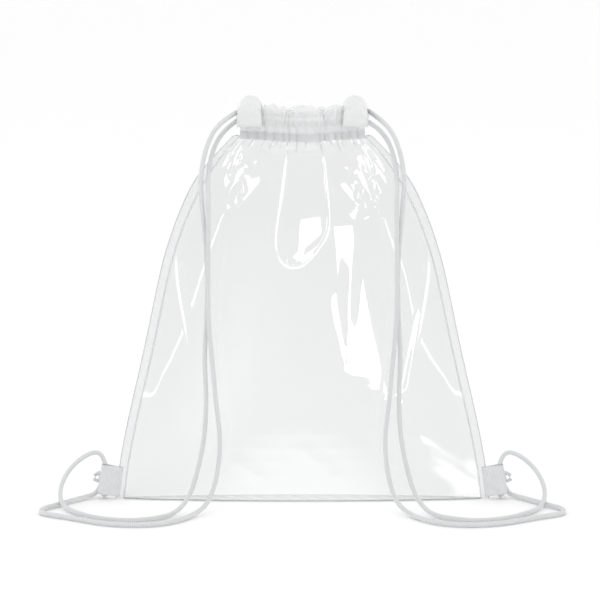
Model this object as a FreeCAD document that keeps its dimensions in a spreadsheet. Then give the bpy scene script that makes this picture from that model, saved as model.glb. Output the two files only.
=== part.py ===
"""Clear drawstring bag: two film panels, a gathered cord channel, two cords and sewn ribbon pieces.

Millimetres. The origin is on the floor under the middle of the bag, +X to the right, -Y to the
front and +Z up. Each sub-part is its own object and is written to parts/NODE.step.
"""
import FreeCAD, Part
import math
import os
from types import SimpleNamespace

import Sketcher
from FreeCAD import Placement, Rotation, Vector

SIZES = {
    "bag_width": 360.0,          # flat width at the foot, over both side seams
    "film_height": 347.0,        # floor to the lower edge of the cord channel
    "mouth_width": 132.0,        # gathered width at the top of the film, over the seams
    "belly": 62.0,               # furthest that one film stands out from the middle plane
    "foot_depth": 24.0,          # front to back at the floor
    "film": 0.5,                 # film thickness
    "seam_width": 8.0,           # welded flange beside each film edge
    "seam_thickness": 1.2,
    "hem_height": 28.0,          # the channel that the cords run in
    "hem_weld": 8.0,             # welded band along its lower edge
    "hem_depth": 10.0,
    "hem_wall": 0.8,
    "hem_length": 116.0,
    "hem_sag": 2.5,              # how much lower its middle hangs than its ends
    "mouth_gap": 17.0,           # between the two hems, at the middle of the mouth
    "patch_length": 24.0,        # ribbon saddle over each end of the mouth
    "patch_end": 61.0,           # middle of the bag to the outer edge of the patch
    "patch_play": 1.2,           # between the patch and the widest part of the hems under it
    "patch_leg": 13.5,           # straight part of the patch below its round top
    "patch_drop": 5.5,           # top of the hem down to the centre of the round top
    "ribbon": 1.0,               # ribbon thickness
    "tab_height": 29.0,
    "tab_lift": 2.8,             # lower edge of the tab above the corner of the bag
    "tab_reach": 12.0,           # corner of the bag to the middle of the ribbon's fold
    "tab_hold": 5.0,             # ribbon sewn over the side seam
    "tab_gap": 0.7,              # half of the space between the ribbon's two layers
    "tab_lean": 8.5,             # degrees, the slope of the side seam at the foot
    "cord": 4.4,                 # cord diameter
    "cord_play": 0.4,            # gap between a cord and the ribbon folded round it
    "level_step": 9.0,           # between the two cords that share a hem
    "knot_width": 9.2,
    "knot_height": 13.0,
    "knot_round": 4.0,
    "knot_out": 10.5,            # corner of the bag to the middle of the knot
    "knot_back": 8.6,            # and how far behind the seam it lies
    "knot_rise": 18.5,
    "knot_clasp": 4.0,           # how far below its middle the two cords enter it
    "tail": 3.4,                 # diameter of the cut cord ends
    "tail_long": 11.5,
    "tail_short": 8.5,
    "thread": 0.7,
    "stitch_length": 2.2,
    "stitch_step": 3.6,
}

# Sections of a film: share of the height, of the spread from mouth to foot, and of the belly.
# The foot's own bulge comes from foot_depth and the mouth's from the hem above it.
FILM_LEVELS = [(0.0, 1.0, None), (0.144, 0.925, 0.52), (0.317, 0.805, 0.82), (0.49, 0.685, 0.98),
               (0.663, 0.565, 1.0), (0.764, 0.46, 0.93), (0.865, 0.315, 0.72), (0.937, 0.17, 0.48),
               (1.0, 0.0, None)]

# Sections of a hem: share of half its length, of its sag and of half the mouth's gap.
HEM_SECTIONS = [(-1.0, 0.0, 0.2), (-0.66, 0.25, 0.3), (-0.33, 0.75, 0.8), (0.0, 1.0, 1.0),
                (0.33, 0.75, 0.8), (0.66, 0.25, 0.3), (1.0, 0.0, 0.2)]

# Stretches of cord inside a hem: share of half its length, of its sag and of half the mouth's gap.
CHANNEL_STATIONS = [(-0.6, 0.35, 0.42), (-0.24, 0.9, 0.93), (0.24, 0.9, 0.93), (0.6, 0.35, 0.42)]
HEM_END_GAP = 0.2

# Free cords of the left side, from the hem's end to the tab. The first and last points are worked out
# from the patch, the tab and the knot.
UPPER_STRAND = [(-78, -13, 360), (-89, -24, 339), (-94, -34, 312), (-92, -40, 284), (-87.5, -43.5, 238),
                (-88, -44, 186), (-91, -44, 146), (-89, -44, 106), (-91, -45, 70), (-98, -46, 36),
                (-106, -49, 13), (-118, -60, 2.4), (-136, -74, 2.4), (-160, -82, 2.4), (-187, -75, 2.4),
                (-208, -61, 2.4), (-222, -44, 2.4), (-229, -28, 9), (-226, -15, 24), (-214, -7, 38),
                (-199, -2, 46.5), (-189.5, 0, 43.5)]
LOWER_STRAND = [(-73, 1, 352), (-83, -13, 336), (-87, -31, 314), (-86, -44.5, 286), (-86.5, -49.6, 238),
                (-87, -50, 184), (-83.5, -49.6, 146), (-80, -50, 104), (-75.5, -51, 66),
                (-80, -52, 30), (-88, -55, 9), (-99, -66, 2.4), (-111, -86, 2.4), (-130, -102, 2.4),
                (-156, -106, 2.4), (-184, -99, 2.4), (-206, -84, 2.4), (-226, -72, 2.4),
                (-243, -63, 2.4), (-243.5, -46, 2.4), (-229, -31, 2.4), (-217, -15, 2.4),
                (-205, -2, 2.4), (-195, 7, 3.6)]

SIDES = {"left": -1, "right": 1}

doc = FreeCAD.newDocument("DrawstringBag")
sheet = doc.addObject("Spreadsheet::Sheet", "Sizes")
for row, (alias, number) in enumerate(SIZES.items(), start=1):
    sheet.set(f"A{row}", alias)
    sheet.set(f"B{row}", str(number))
    sheet.setAlias(f"B{row}", alias)
doc.recompute()


class Length:
    """A number together with the expression of sheet cells that gives it."""

    def __init__(self, value, text):
        self.value = float(value)
        self.text = text

    @staticmethod
    def of(item):
        return item if isinstance(item, Length) else Length(item, repr(item))

    def join(self, other, sign, value):
        return Length(value, f"({self.text} {sign} {Length.of(other).text})")

    def __add__(self, other):
        return self.join(other, "+", self.value + Length.of(other).value)

    def __sub__(self, other):
        return self.join(other, "-", self.value - Length.of(other).value)

    def __mul__(self, other):
        return self.join(other, "*", self.value * Length.of(other).value)

    def __truediv__(self, other):
        return self.join(other, "/", self.value / Length.of(other).value)

    def __neg__(self):
        return self * -1

    def __float__(self):
        return self.value

    def root(self):
        return Length(math.sqrt(self.value), f"sqrt({self.text})")


size = SimpleNamespace(**{alias: Length(sheet.get(alias), f"Sizes.{alias}") for alias in SIZES})


# ------------------------------------------------------------------ bodies, sketches and features

def new_body(name, placement=None):
    body = doc.addObject("PartDesign::Body", name)
    body.Label = name
    body.Placement = placement or Placement()
    return body


def new_sketch(body, name, plane, offset):
    """A sketch on one of the body's origin planes, moved along the plane's normal."""
    sketch = body.newObject("Sketcher::SketchObject", name)
    origin_plane = [item for item in body.Origin.OriginFeatures if item.Role == plane][0]
    sketch.AttachmentSupport = (origin_plane, "")
    sketch.MapMode = "FlatFace"
    sketch.setExpression("AttachmentOffset.Base.z", Length.of(offset).text)
    return sketch


def bind(sketch, kind, geometry, point, length):
    """Fix one coordinate of a point to an expression of the sheet."""
    index = sketch.addConstraint(Sketcher.Constraint(kind, -1, 1, geometry, point, float(length)))
    sketch.setExpression(f"Constraints[{index}]", Length.of(length).text)


def outline(sketch, corners, arcs=None):
    """A closed outline through corners (x, y).

    arcs maps the index of a piece, counted from 0, to (centre x, centre y, turn, kind): turn is 1
    for an arc that runs anticlockwise, and kind says which centre coordinate is bound.
    """
    arcs = arcs or {}
    first = sketch.GeometryCount
    count = len(corners)
    starts = {}
    ends = {}
    for index in range(count):
        a = Vector(float(corners[index][0]), float(corners[index][1]), 0)
        b = Vector(float(corners[(index + 1) % count][0]), float(corners[(index + 1) % count][1]), 0)
        if index in arcs:
            centre_x, centre_y, turn, _ = arcs[index]
            centre = Vector(float(centre_x), float(centre_y), 0)
            low, high = (a, b) if turn > 0 else (b, a)
            circle = Part.Circle(centre, Vector(0, 0, 1), (a - centre).Length)
            low_angle = math.atan2(low.y - centre.y, low.x - centre.x)
            high_angle = math.atan2(high.y - centre.y, high.x - centre.x)
            if high_angle <= low_angle:
                high_angle += 2 * math.pi
            sketch.addGeometry(Part.ArcOfCircle(circle, low_angle, high_angle), False)
            starts[index] = 1 if turn > 0 else 2
        else:
            sketch.addGeometry(Part.LineSegment(a, b), False)
            starts[index] = 1
        ends[index] = 3 - starts[index]
    for index in range(count):
        following = (index + 1) % count
        sketch.addConstraint(Sketcher.Constraint("Coincident", first + index, ends[index],
                                                 first + following, starts[following]))
    for index, (x, y) in enumerate(corners):
        bind(sketch, "DistanceX", first + index, starts[index], x)
        bind(sketch, "DistanceY", first + index, starts[index], y)
    for index, (centre_x, centre_y, _, kind) in arcs.items():
        bind(sketch, kind, first + index, 3, centre_x if kind == "DistanceX" else centre_y)


def loft(body, name, kind, sketches):
    feature = body.newObject(kind, name)
    feature.Profile = (sketches[0], [""])
    feature.Sections = [(sketch, [""]) for sketch in sketches[1:]]
    feature.Ruled = False
    feature.Closed = False
    body.Tip = feature
    return feature


def pad(body, name, sketch, length):
    feature = body.newObject("PartDesign::Pad", name)
    feature.Profile = (sketch, [""])
    feature.setExpression("Length", Length.of(length).text)
    body.Tip = feature
    return feature


def row_of(body, name, feature, axis, step, count):
    """Repeat a feature along one of the body's axes."""
    pattern = body.newObject("PartDesign::LinearPattern", name)
    pattern.Originals = [feature]
    direction = [item for item in body.Origin.OriginFeatures if item.Role == axis][0]
    pattern.Direction = (direction, [""])
    pattern.setExpression("Length", (step * (count - 1)).text)
    pattern.Occurrences = count
    body.Tip = pattern
    return pattern


# ------------------------------------------------------------------ the bag

hem_foot = size.film_height - size.hem_sag
hem_middle = (size.mouth_gap + size.hem_depth) / 2


def film_level(height_share, spread_share, belly_share):
    """Height, half width of the film and bulge of one section."""
    height = size.film_height * height_share
    half = (size.mouth_width + (size.bag_width - size.mouth_width) * spread_share) / 2 - size.seam_width
    if belly_share is None:
        bulge = size.foot_depth / 2 if height_share == 0 else hem_middle
    else:
        bulge = size.belly * belly_share
    return height, half, bulge


def film_panel(name, side):
    """One film: bands between two concentric arcs, lofted from the foot to the mouth."""
    body = new_body(name)
    sketches = []
    for index, level in enumerate(FILM_LEVELS):
        height, half, bulge = film_level(*level)
        radius = (half * half + bulge * bulge) / (bulge * 2)
        centre = (bulge - radius) * side
        inner = radius - size.film
        inner_half = (inner * inner - centre * centre).root()
        sketch = new_sketch(body, f"{name}_level_{index}", "XY_Plane", height)
        corners = [(-half, 0), (half, 0), (inner_half, 0), (-inner_half, 0)]
        arcs = {0: (0, centre, -side, "DistanceY"), 2: (0, centre, side, "DistanceY")}
        outline(sketch, corners, arcs)
        sketches.append(sketch)
    loft(body, f"{name}_loft", "PartDesign::AdditiveLoft", sketches)
    return body


def side_seam(name, side):
    """Welded flange where the two films meet, overlapping their edges by a little."""
    body = new_body(name)
    sketches = []
    for index, level in enumerate(FILM_LEVELS):
        height, half, _ = film_level(*level)
        inner = (half - size.seam_thickness) * side
        outer = (half + size.seam_width) * side
        thick = size.seam_thickness / 2
        sketch = new_sketch(body, f"{name}_level_{index}", "XY_Plane", height)
        outline(sketch, [(inner, -thick), (outer, -thick), (outer, thick), (inner, thick)])
        sketches.append(sketch)
    loft(body, f"{name}_loft", "PartDesign::AdditiveLoft", sketches)
    return body


def bottom_seam(name):
    """Folded foot of the bag, a thin lens that closes it below."""
    body = new_body(name)
    _, half, bulge = film_level(*FILM_LEVELS[0])
    inner_bulge = bulge - size.film
    radius = (half * half + inner_bulge * inner_bulge) / (inner_bulge * 2)
    offset = radius - inner_bulge
    sketch = new_sketch(body, f"{name}_plan", "XY_Plane", 0)
    arcs = {0: (0, offset, 1, "DistanceY"), 1: (0, -offset, 1, "DistanceY")}
    outline(sketch, [(-half, 0), (half, 0)], arcs)
    pad(body, f"{name}_pad", sketch, size.seam_thickness)
    return body


def hem(name, side):
    """Cord channel: a flat tube along the mouth over a welded band, open at both ends."""
    body = new_body(name)
    outer = []
    cavity = []
    half = size.hem_depth / 2
    for index, (along, sag, gap) in enumerate(HEM_SECTIONS):
        station = size.hem_length / 2 * along
        middle = (size.mouth_gap / 2 * gap + half) * side
        low = size.film_height - size.hem_sag * sag
        high = low + size.hem_height
        sketch = new_sketch(body, f"{name}_outer_{index}", "YZ_Plane", station)
        outline(sketch, [(middle - half, low), (middle + half, low),
                         (middle + half, high), (middle - half, high)])
        outer.append(sketch)
        bore = half - size.hem_wall
        floor = low + size.hem_weld
        roof = high - size.hem_wall
        sketch = new_sketch(body, f"{name}_cavity_{index}", "YZ_Plane", station)
        outline(sketch, [(middle - bore, floor), (middle + bore, floor),
                         (middle + bore, roof), (middle - bore, roof)])
        cavity.append(sketch)
    loft(body, f"{name}_tube", "PartDesign::AdditiveLoft", outer)
    loft(body, f"{name}_bore", "PartDesign::SubtractiveLoft", cavity)
    return body


# ------------------------------------------------------------------ ribbon pieces

def gap_share(along):
    """Share of the mouth's gap at a station of the hem, given as a share of half its length."""
    for (near, _, near_gap), (far, _, far_gap) in zip(HEM_SECTIONS, HEM_SECTIONS[1:]):
        if near <= along <= far:
            return near_gap + (far_gap - near_gap) * (along - near) / (far - near)
    return HEM_SECTIONS[-1][2]


patch_reach = (size.patch_end - size.patch_length) / (size.hem_length / 2)
patch_bore = size.hem_depth + size.mouth_gap / 2 * gap_share(float(patch_reach)) + size.patch_play
patch_centre = size.film_height + size.hem_height - size.patch_drop
patch_outer = patch_bore + size.ribbon


def hem_patch(name, side):
    """Ribbon saddle over one end of the mouth: a round top on two straight legs."""
    body = new_body(name)
    start = size.patch_end - size.patch_length if side > 0 else -size.patch_end
    foot = patch_centre - size.patch_leg
    corners = [(-patch_outer, foot), (-patch_outer, patch_centre), (patch_outer, patch_centre),
               (patch_outer, foot), (patch_bore, foot), (patch_bore, patch_centre),
               (-patch_bore, patch_centre), (-patch_bore, foot)]
    arcs = {1: (0, patch_centre, -1, "DistanceY"), 5: (0, patch_centre, 1, "DistanceY")}
    sketch = new_sketch(body, f"{name}_profile", "YZ_Plane", start)
    outline(sketch, corners, arcs)
    pad(body, f"{name}_pad", sketch, size.patch_length)
    return body


def stitch_bars(sketch, x_low, x_high, face):
    """Plan of one stitch on each outer face of a ribbon."""
    sink = size.thread / 2
    for side in (-1, 1):
        near = (face - sink) * side
        far = (face + sink) * side
        outline(sketch, [(x_low, near), (x_high, near), (x_high, far), (x_low, far)])


def patch_stitching(name, side):
    """Rows of thread along the lower edge of a patch, front and back."""
    body = new_body(name)
    count = int((float(size.patch_length) - float(size.stitch_length)) / float(size.stitch_step))
    margin = (size.patch_length - size.stitch_step * (count - 1) - size.stitch_length) / 2
    start = size.patch_end - size.patch_length if side > 0 else -size.patch_end
    height = patch_centre - size.patch_leg + size.stitch_length
    sketch = new_sketch(body, f"{name}_plan", "XY_Plane", height)
    stitch_bars(sketch, start + margin, start + margin + size.stitch_length, patch_outer)
    first = pad(body, f"{name}_pad", sketch, size.thread)
    row_of(body, f"{name}_row", first, "X_Axis", size.stitch_step, count)
    return body


def corner_placement(side):
    """Frame of one lower corner of the bag, leaning with the side seam."""
    lean = Rotation(Vector(0, -side, 0), size.tab_lean.value)
    return Placement(Vector(side * size.bag_width.value / 2, 0, 0), lean)


def corner_body(name, side):
    """A body in the corner's frame, with its place and lean bound to the sheet."""
    body = new_body(name, corner_placement(side))
    body.setExpression("Placement.Base.x", (size.bag_width / 2 * side).text)
    body.setExpression("Placement.Rotation.Angle", size.tab_lean.text)
    return body


def corner_tab(name, side):
    """Ribbon folded round the cord, its two layers sewn over the side seam at the corner."""
    body = corner_body(name, side)
    bore = size.cord / 2 + size.cord_play
    crown = bore + size.ribbon
    inner = size.tab_gap
    outer = size.tab_gap + size.ribbon
    end = -size.tab_hold * side
    bend = size.tab_reach / 3 * side
    fold = size.tab_reach * side
    corners = [(end, -outer), (bend, -outer), (fold, -crown), (fold, crown), (bend, outer),
               (end, outer), (end, inner), (bend, inner), (fold, bore), (fold, -bore),
               (bend, -inner), (end, -inner)]
    arcs = {2: (fold, 0, side, "DistanceX"), 8: (fold, 0, -side, "DistanceX")}
    sketch = new_sketch(body, f"{name}_plan", "XY_Plane", size.tab_lift)
    outline(sketch, corners, arcs)
    pad(body, f"{name}_pad", sketch, size.tab_height)
    return body


def tab_stitching(name, side):
    """Column of thread through both layers of a tab."""
    body = corner_body(name, side)
    count = int((float(size.tab_height) - float(size.stitch_length)) / float(size.stitch_step))
    margin = (size.tab_height - size.stitch_step * (count - 1) - size.stitch_length) / 2
    middle = -size.tab_hold / 2 * side
    sketch = new_sketch(body, f"{name}_plan", "XY_Plane", size.tab_lift + margin)
    stitch_bars(sketch, middle - size.thread / 2, middle + size.thread / 2, size.tab_gap + size.ribbon)
    first = pad(body, f"{name}_pad", sketch, size.stitch_length)
    row_of(body, f"{name}_row", first, "Z_Axis", size.stitch_step, count)
    return body


# ------------------------------------------------------------------ cords

def rounded_path(name, points):
    """Straight runs joined by arcs that touch them, as large as the two runs allow."""
    edges = []
    radii = []
    start = points[0]
    for before, corner, after in zip(points, points[1:], points[2:]):
        inward = (before - corner).normalize()
        outward = (after - corner).normalize()
        turn = math.pi - inward.getAngle(outward)
        reach = 0.45 * min((before - corner).Length, (after - corner).Length)
        radius = reach / math.tan(turn / 2)
        radii.append(radius)
        entry = corner + inward * reach
        leave = corner + outward * reach
        middle_way = (inward + outward).normalize()
        crown = corner + middle_way * (radius / math.cos(turn / 2) - radius)
        edges.append(Part.LineSegment(start, entry).toShape())
        edges.append(Part.Arc(entry, crown, leave).toShape())
        start = leave
    edges.append(Part.LineSegment(start, points[-1]).toShape())
    wire = Part.Wire(edges)
    print(f"{name}: length {wire.Length:.0f} mm, radii " + " ".join(f"{item:.0f}" for item in radii))
    return wire


def cord_tube(name, points, diameter):
    """Round tube along a rounded path through the points."""
    wire = rounded_path(name, points)
    direction = (points[1] - points[0]).normalize()
    circle = Part.Wire(Part.Circle(points[0], direction, diameter / 2).toShape())
    tube = wire.makePipeShell([circle], True, False)
    expected = math.pi * diameter ** 2 / 4 * wire.Length
    if abs(tube.Volume / expected - 1) > 0.02:
        raise ValueError(f"{name}: volume {tube.Volume:.0f} against {expected:.0f}")
    item = doc.addObject("Part::Feature", name)
    item.Label = name
    item.Shape = tube
    item.Placement = Placement()
    return item


def hem_level(side_of_cord, in_front):
    """Height of a cord in the hem at its ends: the left cord is the upper one in front."""
    upper = in_front == (side_of_cord < 0)
    middle = size.film_height + (size.hem_weld + size.hem_height - size.hem_wall) / 2
    return float(middle + size.level_step / (2 if upper else -2))


def hem_line(gap_share):
    """Distance of a hem's middle from the middle plane."""
    return float(size.mouth_gap / 2 * gap_share + size.hem_depth / 2)


def channel_cord(name, side):
    """One cord inside the hems: in through one, round the far end of the mouth and back."""
    end = float(size.patch_end)
    half = float(size.hem_length) / 2
    sag = float(size.hem_sag)
    front = hem_level(side, True)
    back = hem_level(side, False)
    bend = end - float(size.cord) * 0.4
    near = hem_line(HEM_END_GAP)
    points = [Vector(side * end, -near, front)]
    for along, low, gap in CHANNEL_STATIONS:
        points.append(Vector(-side * along * half, -hem_line(gap), front - sag * low))
    points.append(Vector(-side * bend, -near, front))
    points.append(Vector(-side * bend, near, back))
    for along, low, gap in reversed(CHANNEL_STATIONS):
        points.append(Vector(-side * along * half, hem_line(gap), back - sag * low))
    points.append(Vector(side * end, near, back))
    return cord_tube(name, points, float(size.cord))


def corner_point(side, out, y, height):
    """A point given in the corner's frame, out being away from the bag."""
    return corner_placement(side).multVec(Vector(side * out, y, height))


def free_points(side, route):
    """A free route for one side of the bag."""
    return [Vector(-side * x, y, z) for x, y, z in route]


def strand_start(side, upper):
    """Where a strand leaves the hem, at the patch's outer edge."""
    in_front = (side < 0) == upper
    y = hem_line(HEM_END_GAP) * (-1 if in_front else 1)
    return Vector(side * float(size.patch_end), y, hem_level(side, in_front))


def upper_strand(name, side):
    """Free cord from the hem's upper opening to the top of the tab."""
    top = float(size.tab_lift + size.tab_height)
    points = [strand_start(side, True)] + free_points(side, UPPER_STRAND)
    points.append(corner_point(side, float(size.tab_reach), 0, top))
    return cord_tube(name, points, float(size.cord))


def knot_entry(side, away):
    """Where a cord enters the knot from below, its outer half for a strand from outside."""
    out = float(size.knot_out) + away * (float(size.cord) / 2 + float(size.cord_play) / 2)
    return corner_point(side, out, float(size.knot_back), float(size.knot_rise - size.knot_clasp))


def lower_strand(name, side):
    """Free cord from the hem's lower opening to the knot behind the tab."""
    points = [strand_start(side, False)] + free_points(side, LOWER_STRAND) + [knot_entry(side, 1)]
    return cord_tube(name, points, float(size.cord))


def loop_cord(name, side):
    """The cord's last stretch: down through the tab's fold, round under it and up to the knot."""
    lean = math.radians(float(size.tab_lean))
    top = float(size.tab_lift + size.tab_height)
    knot = knot_entry(side, -1)
    floor = float(size.cord + size.cord_play) / 2
    fold_height = (floor - float(size.tab_reach) * math.sin(lean)) / math.cos(lean)
    fold = corner_point(side, float(size.tab_reach), 0, fold_height)
    points = [corner_point(side, float(size.tab_reach), 0, top), fold, Vector(knot.x, knot.y, floor), knot]
    return cord_tube(name, points, float(size.cord))


def cord_knot(name, side):
    """Overhand knot behind the tab, with the two cut ends of the cord."""
    corner = corner_placement(side)
    middle = Vector(side * size.knot_out.value, size.knot_back.value, size.knot_rise.value)
    roll = doc.addObject("Part::Cylinder", f"{name}_roll")
    roll.setExpression("Radius", (size.knot_width / 2).text)
    roll.setExpression("Height", size.knot_height.text)
    roll.Placement = corner * Placement(middle - Vector(0, 0, size.knot_height.value / 2), Rotation())
    doc.recompute()
    barrel = doc.addObject("Part::Fillet", f"{name}_barrel")
    barrel.Base = roll
    rims = [index for index, edge in enumerate(roll.Shape.Edges, start=1)
            if isinstance(edge.Curve, Part.Circle)]
    barrel.Edges = [(rim, size.knot_round.value, size.knot_round.value) for rim in rims]
    pieces = [barrel]
    for word, length, tilt in (("long", size.tail_long, -4.0), ("short", size.tail_short, 24.0)):
        tail = doc.addObject("Part::Cylinder", f"{name}_{word}_tail")
        tail.setExpression("Radius", (size.tail / 2).text)
        tail.setExpression("Height", length.text)
        heading = Vector(side * math.cos(math.radians(tilt)), -0.12, math.sin(math.radians(tilt)))
        tail.Placement = corner * Placement(middle, Rotation(Vector(0, 0, 1), heading))
        pieces.append(tail)
    knot = doc.addObject("Part::MultiFuse", name)
    knot.Label = name
    knot.Shapes = pieces
    return knot


# ------------------------------------------------------------------ build, check and write

def build():
    parts = [film_panel("front_panel", -1), film_panel("back_panel", 1), bottom_seam("bottom_seam"),
             hem("front_hem", -1), hem("back_hem", 1)]
    pieces = {"side_seam": side_seam, "hem_patch": hem_patch, "patch_stitching": patch_stitching,
              "corner_tab": corner_tab, "tab_stitching": tab_stitching, "channel_cord": channel_cord,
              "upper_strand": upper_strand, "lower_strand": lower_strand, "loop_cord": loop_cord,
              "cord_knot": cord_knot}
    for word, side in SIDES.items():
        for noun, make in pieces.items():
            parts.append(make(f"{word}_{noun}", side))
    return parts


def check(parts):
    for item in doc.Objects:
        if {"Invalid", "Error"} & set(item.State):
            raise RuntimeError(f"{item.Name} failed: {item.State}")
    for item in parts:
        shape = item.Shape
        if shape.isNull() or not shape.isValid() or shape.Volume <= 0:
            raise RuntimeError(f"{item.Label} has no sound shape")


def write(parts):
    os.makedirs("parts", exist_ok=True)
    for item in parts:
        item.Shape.exportStep(f"parts/{item.Label}.step")
        box = item.Shape.BoundBox
        print(f"{item.Label}: {item.Shape.Volume:.0f} mm3, x {box.XMin:.1f} {box.XMax:.1f}, "
              f"y {box.YMin:.1f} {box.YMax:.1f}, z {box.ZMin:.1f} {box.ZMax:.1f}")


sub_parts = build()
doc.recompute()
check(sub_parts)
write(sub_parts)
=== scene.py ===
# %% [markdown]
# # A clear drawstring bag
# The bag is two sheets of clear soft vinyl welded together at the sides and folded at the foot. A hem
# along the mouth holds two cords. Each cord runs right round the mouth, leaves it under a ribbon patch
# and comes down to a ribbon tab at the bottom corner, so the cords are drawstring and shoulder straps in
# one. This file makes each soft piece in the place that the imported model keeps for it. Everything is in
# metres, with the bag standing on z = 0.

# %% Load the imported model
import math

import bmesh
import bpy
import numpy as np
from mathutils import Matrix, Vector
from mathutils.bvhtree import BVHTree


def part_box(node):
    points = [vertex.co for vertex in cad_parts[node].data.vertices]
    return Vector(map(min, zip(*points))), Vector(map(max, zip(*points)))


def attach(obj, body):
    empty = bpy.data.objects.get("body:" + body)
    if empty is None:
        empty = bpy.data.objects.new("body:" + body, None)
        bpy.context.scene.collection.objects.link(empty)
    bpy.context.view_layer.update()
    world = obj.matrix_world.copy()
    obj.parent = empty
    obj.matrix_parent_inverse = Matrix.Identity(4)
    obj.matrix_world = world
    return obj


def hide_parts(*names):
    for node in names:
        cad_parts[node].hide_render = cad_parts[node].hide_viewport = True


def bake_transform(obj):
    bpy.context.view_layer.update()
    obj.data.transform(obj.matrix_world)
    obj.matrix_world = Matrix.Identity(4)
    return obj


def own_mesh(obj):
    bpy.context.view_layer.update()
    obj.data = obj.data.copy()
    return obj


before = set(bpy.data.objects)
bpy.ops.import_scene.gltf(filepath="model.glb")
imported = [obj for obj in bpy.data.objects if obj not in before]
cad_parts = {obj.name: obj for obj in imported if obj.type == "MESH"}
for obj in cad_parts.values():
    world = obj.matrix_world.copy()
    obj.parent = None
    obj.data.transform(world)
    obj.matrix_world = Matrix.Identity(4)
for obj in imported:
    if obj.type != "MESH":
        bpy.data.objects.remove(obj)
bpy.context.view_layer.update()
scene = bpy.context.scene

# %% [markdown]
# ## Camera
# A long lens from well back keeps the bag's two sides parallel. It stands a little above the bag and
# looks down by ten degrees, which is enough to show the loops of cord that lie on the floor.

# %% Camera
LOOK_AT = Vector((0.0, 0.0, 0.19))
LOOK_DOWN = math.radians(10)
DISTANCE = 2.4

camera_data = bpy.data.cameras.new("camera")
camera_data.lens = 153.4
camera_data.sensor_width = 36
camera_data.shift_x = -0.0042
camera_data.shift_y = 0.0033
camera = bpy.data.objects.new("camera", camera_data)
camera.location = LOOK_AT + Vector((0, -math.cos(LOOK_DOWN), math.sin(LOOK_DOWN))) * DISTANCE
camera.rotation_euler = (math.pi / 2 - LOOK_DOWN, 0, 0)
scene.collection.objects.link(camera)
scene.camera = camera
print("camera stands at", [round(x, 3) for x in camera.location])

# %% [markdown]
# ## Making meshes
# Nearly every piece here is a strip, a sheet or a tube, and all three are grids of points joined by
# four-sided faces. One helper turns such a grid into an object. Its UV map holds real distances in
# metres, so that a weave has the same scale on every piece that wears it.

# %% Grids of points to objects
def grid_faces(rows, columns, closed):
    """Four-sided faces of a grid; closed joins the last column to the first."""
    faces = []
    for row in range(rows - 1):
        for column in range(columns if closed else columns - 1):
            after = (column + 1) % columns
            here = row * columns
            faces.append((here + column, here + after, here + columns + after, here + columns + column))
    return faces


def lengths(points):
    """Distance along a line of points, starting at nought."""
    steps = np.linalg.norm(np.diff(points, axis=0), axis=1)
    return np.concatenate([[0.0], np.cumsum(steps)])


def add_object(name, points, faces, uv=None):
    mesh = bpy.data.meshes.new(name)
    mesh.from_pydata([tuple(map(float, p)) for p in points], [], faces)
    if uv is not None:
        layer = mesh.uv_layers.new(name="UVMap")
        corner = 0
        for face, places in zip(faces, uv):
            for place in places:
                layer.data[corner].uv = place
                corner += 1
    mesh.polygons.foreach_set("use_smooth", [True] * len(mesh.polygons))
    mesh.update()
    piece = bpy.data.objects.new(name, mesh)
    scene.collection.objects.link(piece)
    return piece


def grid_uv(grid, closed):
    """UV of every face corner: along the middle row across, along the middle column down."""
    rows, columns = grid.shape[:2]
    down = lengths(grid[:, columns // 2])
    ring = np.concatenate([grid[rows // 2], grid[rows // 2, :1]]) if closed else grid[rows // 2]
    across = lengths(ring)
    places = []
    for row in range(rows - 1):
        for column in range(columns if closed else columns - 1):
            left, right = across[column], across[column + 1]
            low, high = down[row], down[row + 1]
            places.append(((left, low), (right, low), (right, high), (left, high)))
    return places


def grid_object(name, grid, closed=False):
    """An object from a (rows, columns, 3) array of points; a closed grid is a tube with flat ends."""
    rows, columns = grid.shape[:2]
    faces = grid_faces(rows, columns, closed)
    uv = grid_uv(grid, closed)
    if closed:
        for ring in (range(columns - 1, -1, -1), range((rows - 1) * columns, rows * columns)):
            faces.append(tuple(ring))
            uv.append([(0.0, 0.0)] * columns)
    return add_object(name, grid.reshape(-1, 3), faces, uv)


def dress(piece, material):
    piece.data.materials.clear()
    piece.data.materials.append(material)


def to_grid(x, y, z):
    """One grid of points from three arrays, each of which may vary along rows, columns or both."""
    return np.stack(np.broadcast_arrays(x, y, z), axis=2)


print("three rings of three points make a tube of", len(grid_faces(3, 3, True)), "faces")
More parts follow.
